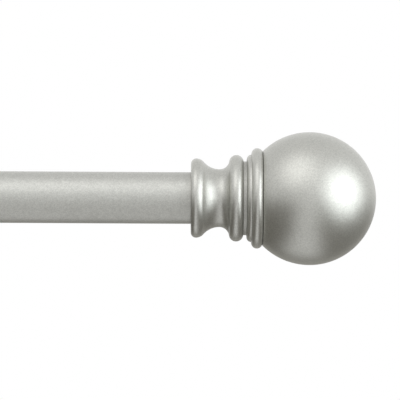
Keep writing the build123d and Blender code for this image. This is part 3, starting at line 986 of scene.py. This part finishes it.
# Finials
# -------
@dataclass
class Finial:
    """Turned neck, hollow ball and threaded stud at one end of the rod, from the flange face outwards."""

    workshop: Workshop
    side: Side
    lip_front_radius: float = 1.6 * MM
    lip_back_radius: float = 3.0 * MM
    lip_crown: float = 12.2 * MM
    throat_from_lip: float = 7.2 * MM
    throat_radius: float = 8.9 * MM
    large_bead_from_throat: float = 5.14 * MM
    large_bead_radius: float = 2.2 * MM
    large_bead_crown: float = 13.31 * MM
    groove_width: float = 1.0 * MM
    groove_floor: float = 11.35 * MM
    groove_edge: float = 0.2 * MM
    quarter_bead_radius: float = 1.45 * MM
    quarter_bead_crown: float = 13.45 * MM
    seat_bead_radius: float = 1.75 * MM
    seat_bead_crown: float = 15.45 * MM
    ball_radius: float = 20.45 * MM
    ball_wall: float = 1.5 * MM
    ball_rim_overhang: float = 0.85 * MM
    spigot_length: float = 3.0 * MM
    spigot_clearance: float = 0.05 * MM
    socket_radius: float = 8.3 * MM
    socket_depth: float = 6.0 * MM
    bore_radius: float = 3.05 * MM
    bore_depth: float = 10.0 * MM
    bore_edge: float = 0.3 * MM
    stud_pitch: float = 1.0 * MM
    stud_thread_depth: float = 0.16
    stud_segments: int = 36
    rows_per_turn: int = 10
    neck_segments: int = 144
    ball_segments: int = 160
    ball_steps: int = 96

    def __post_init__(self) -> None:
        """Works out the beads' centres and the ball's seat."""
        axis = middle("outer_tube")
        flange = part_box(self.side.node("finial_neck"))[self.side is Side.LEFT].x
        self.outward = Heading.RIGHT if self.side is Side.RIGHT else Heading.LEFT
        self.place = self.outward.matrix(Vector((flange, axis.y, axis.z)))
        self.lip_front = Vector((self.lip_front_radius, self.lip_crown - self.lip_front_radius))
        self.lip_back = Vector((self.lip_front_radius, self.lip_crown - self.lip_back_radius))
        self.throat = Vector((self.lip_front_radius + self.throat_from_lip, self.throat_radius))
        bead_along = self.throat.x + self.large_bead_from_throat
        self.large_bead = Vector((bead_along, self.large_bead_crown - self.large_bead_radius))
        quarter_along = bead_along + self.large_bead_radius + self.groove_width + self.quarter_bead_radius
        self.quarter_bead = Vector((quarter_along, self.quarter_bead_crown - self.quarter_bead_radius))
        seat_along = quarter_along + self.seat_bead_radius
        self.seat_bead = Vector((seat_along, self.seat_bead_crown - self.seat_bead_radius))
        self.seat = seat_along + self.seat_bead_radius
        rim = self.seat_bead.y + self.ball_rim_overhang
        self.ball_centre = self.seat + math.sqrt(self.ball_radius**2 - rim**2)
        inner = self.ball_radius - self.ball_wall
        self.ball_mouth = math.sqrt(inner**2 - (self.ball_centre - self.seat) ** 2)

    def hollow(self, bead: Vector, bead_radius: float) -> Vector:
        """Centre of the hollow that bottoms at the throat and runs tangent into a bead."""
        step = bead - self.throat
        radius = (step.length_squared - bead_radius**2) / (2 * (step.y + bead_radius))
        return self.throat + Vector((0, radius))

    def neck_outline(self) -> Outline:
        """Ring of the neck: lip, hollow, beads, spigot, bore and socket."""
        wide = self.hollow(self.lip_back, self.lip_back_radius)
        tight = self.hollow(self.large_bead, self.large_bead_radius)
        lip_turn = math.degrees(math.atan2(wide.y - self.lip_back.y, wide.x - self.lip_back.x))
        bead_turn = math.degrees(math.atan2(tight.y - self.large_bead.y, tight.x - self.large_bead.x))
        rise = (self.groove_floor - self.large_bead.y) / self.large_bead_radius
        groove_turn = math.degrees(math.asin(rise))
        spigot = self.ball_mouth - self.spigot_clearance
        spigot_end = self.seat + self.spigot_length
        bore_end = self.socket_depth + self.bore_depth
        outline = Outline()
        outline.arc(self.lip_front, self.lip_front_radius, 180, -90)
        outline.arc(self.lip_back, self.lip_back_radius, 90, lip_turn - 90)
        outline.arc(wide, wide.y - self.throat.y, lip_turn + 180, 90 - lip_turn)
        outline.arc(tight, tight.y - self.throat.y, 270, bead_turn - 90)
        outline.arc(self.large_bead, self.large_bead_radius, bead_turn, groove_turn - bead_turn)
        outline.corner(self.quarter_bead.x - self.quarter_bead_radius, self.groove_floor, self.groove_edge)
        outline.arc(self.quarter_bead, self.quarter_bead_radius, 180, -90)
        outline.arc(self.seat_bead, self.seat_bead_radius, 180, -180)
        return outline.corners(
            (self.seat, spigot),
            (spigot_end, spigot, self.bore_edge),
            (spigot_end, 0),
            (bore_end, 0),
            (bore_end, self.bore_radius),
            (self.socket_depth, self.bore_radius, self.bore_edge),
            (self.socket_depth, self.socket_radius, self.bore_edge),
            (0, self.socket_radius, self.bore_edge),
        )

    def ball_outline(self) -> Outline:
        """Line of the hollow ball, from its inner pole round the rim to its outer pole."""
        centre = (self.ball_centre, 0.0)
        back = self.ball_centre - self.seat
        inner = self.ball_radius - self.ball_wall
        outer_turn = math.degrees(math.acos(-back / self.ball_radius))
        inner_turn = math.degrees(math.acos(-back / inner))
        outline = Outline(closed=False).arc(centre, inner, 0, inner_turn, self.ball_steps // 2)
        return outline.arc(centre, self.ball_radius, outer_turn, -outer_turn, self.ball_steps)

    def stud(self) -> None:
        """Makes the threaded stud that joins the finial to the rod."""
        node = self.side.node("finial_stud")
        length, edge, centre = extent(node).x, self.bore_edge, middle(node)
        start = Vector((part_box(node)[self.side is Side.LEFT].x, centre.y, centre.z))
        outline = Outline(closed=False)
        outline.thread_rows(length, extent(node).z / 2, edge, self.stud_pitch, self.rows_per_turn)
        thread = {"thread_start": edge, "thread_end": length - edge, "pitch": self.stud_pitch}
        thread |= {"thread_depth": self.stud_thread_depth, "segments": self.stud_segments}
        place = self.outward.matrix(start)
        body = self.side.node("stud")
        self.workshop.turned(node, "threaded", outline, place, body, "plated_steel", **thread)

    def build(self) -> None:
        """Makes the neck, the ball and the stud."""
        neck, ball = self.side.node("finial_neck"), self.side.node("finial_ball")
        settings = (self.place, self.side.node("finial"), "finial_paint")
        turned = self.workshop.turned
        turned(neck, "turned", self.neck_outline(), *settings, segments=self.neck_segments)
        turned(ball, "spun", self.ball_outline(), *settings, segments=self.ball_segments)
        self.stud()


# Screws
# ------
@dataclass
class Screw:
    """Slotted pan-head screw, by default an M4, along local X: its head faces +X and seats at zero."""

    length: float
    plain_length: float
    head_radius: float = 3.5 * MM
    head_height: float = 2.2 * MM
    shank_radius: float = 1.95 * MM
    pitch: float = 0.7 * MM
    thread_depth: float = 0.15
    point_length: float = 0.0
    neck_radius: float = 0.0
    sharpness: float = 1.0
    crown: float = 0.25 * MM
    head_edge: float = 0.7 * MM
    slot_width: float = 1.0 * MM
    slot_depth: float = 1.1 * MM
    rows_per_turn: int = 10
    segments: int = 40

    def outline(self) -> Outline:
        """Line from the shank's tip to the crown of the head."""
        threaded_length = self.length - self.plain_length
        full_start = -self.length + self.point_length
        rows = round(threaded_length / self.pitch * self.rows_per_turn)
        neck = self.neck_radius or self.shank_radius
        outline = Outline(closed=False).corner(-self.length, 0)
        for row in range(rows + 1):
            along = -self.length + threaded_length * row / rows
            taper = 1.0 if along >= full_start else max((along + self.length) / self.point_length, 0.0)
            if taper > 0:
                outline.corner(along, self.shank_radius * taper)
        return outline.corners(
            (-self.plain_length + (neck - self.shank_radius), neck),
            (0, neck),
            (0, self.head_radius, self.head_edge / 4),
            (self.head_height - self.crown, self.head_radius, self.head_edge),
            (self.head_height, self.head_radius / 3, self.head_radius / 3),
            (self.head_height, 0),
        )

    def mesh(self, bench: Bench, material: Material) -> Mesh:
        """Turns, threads and slots the screw on a bench, in a material."""
        thread = {"thread_start": -self.length, "thread_end": -self.plain_length, "pitch": self.pitch}
        thread |= {"thread_depth": self.thread_depth, "sharpness": self.sharpness}
        turned = bench.turn(self.outline(), material, segments=self.segments, **thread)
        slot = {"head_face": self.head_height, "slot_width": self.slot_width}
        slot |= {"slot_depth": self.slot_depth, "slot_length": 3 * self.head_radius}
        return bench.run(bench.slotted, turned, material=material, **slot)


@dataclass
class WoodScrew(Screw):
    """Pointed screw with a coarse, sharp thread and a plain neck."""

    head_radius: float = 4.0 * MM
    head_height: float = 2.6 * MM
    shank_radius: float = 2.0 * MM
    pitch: float = 1.8 * MM
    thread_depth: float = 0.3
    point_length: float = 6.0 * MM
    neck_radius: float = 2.25 * MM
    sharpness: float = 1.6
    rows_per_turn: int = 12
    segments: int = 32


@dataclass
class WallScrews:
    """The four screws that hold the two plates to the wall."""

    workshop: Workshop
    spacing_up: float = 36.0 * MM

    def build(self) -> None:
        """Makes one screw and sets it out at the four holes."""
        bench, zinc = self.workshop.bench, self.workshop.finish["plated_steel"]
        plate = -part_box(Side.LEFT.node("wall_plate"))[0].y
        neck_end = plate + WoodScrew.neck_radius - WoodScrew.shank_radius
        single = WoodScrew(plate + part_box("wall_screws")[1].y, neck_end).mesh(bench, zinc)
        single.transform(Heading.TO_ROOM.matrix(Vector((0, -plate, 0))))
        across = middle(Side.RIGHT.node("wall_plate")).x - middle(Side.LEFT.node("wall_plate")).x
        spacing = {"spacing_across": across, "spacing_up": self.spacing_up}
        four = bench.run(bench.set_out, single, material=zinc, **spacing)
        settle(bench.piece("wall_screws_threaded", four), "wall_brackets", "plated_steel", "wall_screws")


# Brackets
# --------
@dataclass
class WallBracket:
    """One bracket: plate, rosette, telescoping arm, cradle and clamp."""

    workshop: Workshop
    side: Side
    plate_edge: float = 0.3 * MM
    rosette_rim: float = 2.5 * MM
    rosette_wall: float = 1.2 * MM
    rosette_shoulder: float = 6.0 * MM
    rosette_cone_rise: float = 3.5 * MM
    rosette_collar_radius: float = 11.0 * MM
    rosette_collar_edge: float = 1.2 * MM
    rosette_bore: float = 7.55 * MM
    arm_edge: float = 0.2 * MM
    arm_bore: float = 4.5 * MM
    cap_thickness: float = 2.0 * MM
    cap_edge: float = 1.0 * MM
    cap_crown: float = 0.3 * MM
    cradle_edge: float = 0.35 * MM
    pad_edge: float = 0.25 * MM
    clamp_segments: int = 32
    knob_edge: float = 0.9 * MM
    knob_bore: float = 2.05 * MM
    knob_bore_depth: float = 5.0 * MM
    knob_dish_radius: float = 4.2 * MM
    knob_dish_depth: float = 0.5 * MM
    knob_notches: int = 10
    knob_notch_depth: float = 1.3 * MM
    segments: int = 128

    def place(self, node: str, heading: Heading) -> Matrix:
        """Matrix to the axis of a node, named without its side, with local zero at its trailing end."""
        name, way = self.side.node(node), Vector(heading.value)
        return heading.matrix(middle(name) - way * (abs(extent(name).dot(way)) / 2))

    def turned(self, node: str, outline: Outline, body: str, **sizes: object) -> None:
        """Makes a painted piece turned about an axis that points into the room, from its wall end."""
        name = self.side.node(node)
        body = self.side.node(body)
        place = self.place(node, Heading.TO_ROOM)
        sizes["segments"] = self.segments
        self.workshop.turned(name, "turned", outline, place, body, "bracket_paint", **sizes)

    def rosette(self) -> None:
        """Makes the domed cover with its collar."""
        size = extent(self.side.node("rosette"))
        rim_radius, collar_end = size.x / 2, size.y
        wall, collar = self.rosette_wall, self.rosette_collar_radius
        shoulder = Vector((self.rosette_rim, rim_radius - self.rosette_shoulder))
        cone_top = self.rosette_rim + self.rosette_shoulder + self.rosette_cone_rise
        outline = Outline().corner(0, rim_radius, self.arm_edge)
        outline.arc(shoulder, self.rosette_shoulder, 90, -90)
        outline.corners(
            (cone_top, collar, self.rosette_collar_edge / 3),
            (collar_end, collar, self.rosette_collar_edge),
            (collar_end, self.rosette_bore, self.arm_edge),
            (cone_top - wall, self.rosette_bore),
            (cone_top - wall, collar - wall),
        )
        outline.arc(shoulder, self.rosette_shoulder - wall, 0, 90)
        outline.corner(0, rim_radius - wall, self.arm_edge)
        self.turned("rosette", outline, "rosette")

    def end_cap(self) -> None:
        """Makes the crowned button in the arm's room end."""
        size = extent(self.side.node("arm_end_cap"))
        length, radius = size.y, size.x / 2
        seat = length - self.cap_thickness
        outline = Outline(closed=False).corners(
            (0, 0),
            (0, self.arm_bore, self.arm_edge),
            (seat, self.arm_bore),
            (seat, radius, self.arm_edge / 2),
            (length - self.cap_crown, radius, self.cap_edge),
            (length, radius / 3, radius),
            (length, 0),
        )
        self.turned("arm_end_cap", outline, "arm")

    def knob(self) -> None:
        """Makes the notched knob on the clamp screw."""
        size = extent(self.side.node("clamp_knob"))
        length, radius = size.y, size.z / 2
        dish = length - self.knob_dish_depth
        outline = Outline(closed=False).corners(
            (self.knob_bore_depth, 0),
            (self.knob_bore_depth, self.knob_bore),
            (0, self.knob_bore, self.arm_edge),
            (0, radius, self.knob_edge),
            (length, radius, self.knob_edge),
            (length, self.knob_dish_radius, self.arm_edge),
            (dish, self.knob_dish_radius - self.knob_dish_depth, self.arm_edge),
            (dish, 0),
        )
        notches = {"flutes": self.knob_notches, "flute_rim": radius, "flute_depth": self.knob_notch_depth}
        self.turned("clamp_knob", outline, "clamp_knob", **notches)

    def clamp_screw(self) -> None:
        """Makes the threaded shank of the clamp."""
        name = self.side.node("clamp_screw")
        length, radius, edge = extent(name).y, extent(name).x / 2, self.arm_edge
        outline = Outline(closed=False)
        outline.thread_rows(length, radius, edge, Screw.pitch, Screw.rows_per_turn)
        thread = {"thread_start": edge, "thread_end": length - edge, "pitch": Screw.pitch}
        thread |= {"thread_depth": Screw.thread_depth, "segments": self.clamp_segments}
        place = self.place("clamp_screw", Heading.TO_ROOM)
        body = self.side.node("clamp_shank")
        self.workshop.turned(name, "threaded", outline, place, body, "plated_steel", **thread)

    def machine_screw(self, node: str, body: str) -> None:
        """Makes a machine screw whose head faces down, for a node and a body named without their side."""
        name = self.side.node(node)
        low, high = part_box(name)
        screw = Screw(high.z - low.z - Screw.head_height, plain_length=Screw.pitch)
        seat = Vector((middle(name).x, middle(name).y, low.z + Screw.head_height))
        bench = self.workshop.bench
        mesh = screw.mesh(bench, self.workshop.finish["plated_steel"])
        piece = bench.piece(name + "_threaded", mesh, Heading.DOWN.matrix(seat))
        settle(piece, self.side.node(body), "plated_steel", name)

    def softened(self, node: str, body: str, slot: str, edge: float) -> None:
        """Makes a copy, with eased edges of a given width, of a node named without its side."""
        name = self.side.node(node)
        piece = self.workshop.bench.softened(name, name + "_eased", self.workshop.finish[slot], edge)
        settle(piece, body, slot, name)

    def build(self) -> None:
        """Makes every piece of the bracket."""
        arm = self.side.node("arm")
        self.softened("wall_plate", "wall_brackets", "plated_steel", self.plate_edge)
        self.softened("arm_tube", "wall_brackets", "bracket_paint", self.arm_edge)
        self.rosette()
        self.softened("sliding_arm", arm, "bracket_paint", self.arm_edge)
        self.end_cap()
        self.softened("cradle", arm, "bracket_paint", self.cradle_edge)
        self.softened("cradle_pad", arm, "pad_vinyl", self.pad_edge)
        self.machine_screw("arm_lock_screw", "lock_screw")
        self.machine_screw("cradle_screw", "arm")
        self.clamp_screw()
        self.knob()


# Studio
# ------
@dataclass
class Studio:
    """White surroundings with soft boxes, a pale floor far below, and a camera before the right finial.

    Ranges are pairs: where a change starts and where it ends, in the parts of a unit direction.
    """

    floor_height: float = -0.45
    floor_radius: float = 3.5
    floor_segments: int = 96
    floor_colour: Colour = (0.86, 0.86, 0.85)
    floor_roughness: float = 0.9
    floor_fade: tuple[float, float] = (0.3, 0.95)  # shares of its radius
    lens: float = 200.0
    sensor: float = 36.0
    view_width: float = 0.1231
    clip_range: float = 100.0  # how many times nearer and farther than the axis is still seen
    past_flange: float = 0.0028
    below_axis: float = 0.0006
    roll: float = math.radians(-0.3)
    upper_light: float = 0.8
    horizon: tuple[float, float] = (-0.24, 0.12)
    lower_left: Colour = (0.15, 0.14, 0.12)
    lower_right: Colour = (0.2, 0.19, 0.17)
    lower_across: tuple[float, float] = (-0.4, 0.4)
    lower_middle: float = 0.84
    middle_shift: float = 0.1
    middle_across: tuple[float, float] = (0.2, 0.42)
    middle_depth: tuple[float, float] = (0.3, 0.7)
    behind_high: float = 1.0
    behind_left: Colour = (0.03, 0.028, 0.024)
    behind_right: Colour = (0.46, 0.45, 0.42)
    behind_across: tuple[float, float] = (-0.6, -0.25)
    behind_rise: tuple[float, float] = (-0.25, 0.12)
    behind_depth: tuple[float, float] = (0.6, 0.9)
    right_box: Colour = (0.85, -0.47, 0.13)
    right_box_reach: tuple[float, float] = (0.7, 0.98)
    right_box_light: Colour = (2.1, 2.2, 2.26)
    top_box: Colour = (-0.3, -0.55, 0.72)
    top_box_reach: tuple[float, float] = (0.8, 1.0)
    top_box_strength: float = 0.92

    def soft_box(self, wires: Wiring, way: Socket, aim: tuple, reach: tuple[float, float]) -> Socket:
        """Mask of a soft round light, from the cosines at its edge and where it is full."""
        aimed = {0: way, 1: Vector(aim).normalized()}
        near = wires.add("ShaderNodeVectorMath", aimed, operation="DOT_PRODUCT")
        return wires.ease(near.outputs["Value"], *reach)

    def surroundings(self) -> None:
        """Builds the world: plain white to the camera, a soft box studio to the object."""
        world = bpy.data.worlds.new("studio")
        world.use_nodes = True
        bpy.context.scene.world = world
        wires = Wiring(world.node_tree)
        ease, blend = wires.ease, wires.blend
        way = wires.add("ShaderNodeTexCoord").outputs["Generated"]
        across, depth, height = wires.add("ShaderNodeSeparateXYZ", {"Vector": way}).outputs
        lower = blend(ease(across, *self.lower_across), self.lower_left, self.lower_right)
        off_middle = wires.math("ABSOLUTE", wires.math("ADD", across, self.middle_shift))
        front = ease(depth, *self.middle_depth, 1.0, 0.0)
        band = wires.math("MULTIPLY", ease(off_middle, *self.middle_across, 1.0, 0.0), front)
        lower = blend(band, lower, (self.lower_middle,) * 3)
        light = blend(ease(height, *self.horizon), lower, (self.upper_light,) * 3)
        low_back = blend(ease(across, *self.behind_across), self.behind_left, self.behind_right)
        back = blend(ease(height, *self.behind_rise), low_back, (self.behind_high,) * 3)
        light = blend(ease(depth, *self.behind_depth), light, back)
        right = self.soft_box(wires, way, self.right_box, self.right_box_reach)
        top = self.soft_box(wires, way, self.top_box, self.top_box_reach)
        sums = {0: light, 1: wires.math("MULTIPLY", top, self.top_box_strength)}
        with_top = wires.add("ShaderNodeVectorMath", sums, operation="ADD").outputs["Vector"]
        sums = {0: right, 1: self.right_box_light, 2: with_top}
        total = wires.add("ShaderNodeVectorMath", sums, operation="MULTIPLY_ADD").outputs["Vector"]
        seen = wires.add("ShaderNodeLightPath").outputs["Is Camera Ray"]
        wires.feed(world.node_tree.nodes["Background"], {"Color": blend(seen, total, (1.0, 1.0, 1.0))})

    def floor_material(self) -> Material:
        """Builds the floor's matt finish, which turns clear towards its edge."""
        material = bpy.data.materials.new("pale_floor")
        material.use_nodes = True
        nodes = material.node_tree.nodes
        wires = Wiring(material.node_tree)
        matt = {"Roughness": self.floor_roughness, "Base Color": (*self.floor_colour, 1.0)}
        wires.feed(nodes["Principled BSDF"], matt)
        place = wires.add("ShaderNodeTexCoord").outputs["Object"]
        reach = wires.add("ShaderNodeVectorMath", {0: place}, operation="LENGTH").outputs["Value"]
        fade = wires.ease(reach, *(share * self.floor_radius for share in self.floor_fade))
        clear = wires.add("ShaderNodeBsdfTransparent").outputs["BSDF"]
        mixed = {"Fac": fade, 1: nodes["Principled BSDF"].outputs["BSDF"], 2: clear}
        shader = wires.add("ShaderNodeMixShader", mixed).outputs["Shader"]
        wires.feed(nodes["Material Output"], {"Surface": shader})
        return material

    def floor(self) -> None:
        """Lays the pale round floor, which fades into the white surroundings."""
        shape = bmesh.new()
        size = {"radius": self.floor_radius, "segments": self.floor_segments}
        bmesh.ops.create_circle(shape, cap_ends=True, **size)
        mesh = bpy.data.meshes.new("floor")
        shape.to_mesh(mesh)
        shape.free()
        mesh.transform(Matrix.Translation((0, 0, self.floor_height)))
        mesh.materials.append(self.floor_material())
        floor = stand("floor", mesh)
        floor.visible_glossy = False

    def camera(self) -> None:
        """Stands the camera level before the right finial."""
        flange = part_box(Side.RIGHT.node("finial_neck"))[0].x
        axis = middle("outer_tube")
        data = bpy.data.cameras.new("camera")
        data.lens = self.lens
        data.sensor_width = self.sensor
        distance = self.view_width * self.lens / self.sensor
        data.clip_start = distance / self.clip_range
        data.clip_end = distance * self.clip_range
        camera = stand("camera", data)
        camera.location = (flange + self.past_flange, axis.y - distance, axis.z - self.below_axis)
        camera.rotation_euler = (math.pi / 2, self.roll, 0)
        bpy.context.scene.camera = camera

    def build(self) -> None:
        """Sets up the surroundings, the floor, the camera and a plain view transform."""
        self.surroundings()
        self.floor()
        self.camera()
        bpy.context.scene.view_settings.view_transform = "Standard"


# The whole object
# ----------------
def main() -> None:
    """Builds the studio and every sub-assembly in order."""
    logging.basicConfig(level=logging.INFO, format="%(message)s")
    Studio().build()
    workshop = Workshop()
    Rod(workshop).build()
    for side in Side:
        Finial(workshop, side).build()
    WallScrews(workshop).build()
    for side in Side:
        WallBracket(workshop, side).build()


if __name__ == "__main__":
    main()
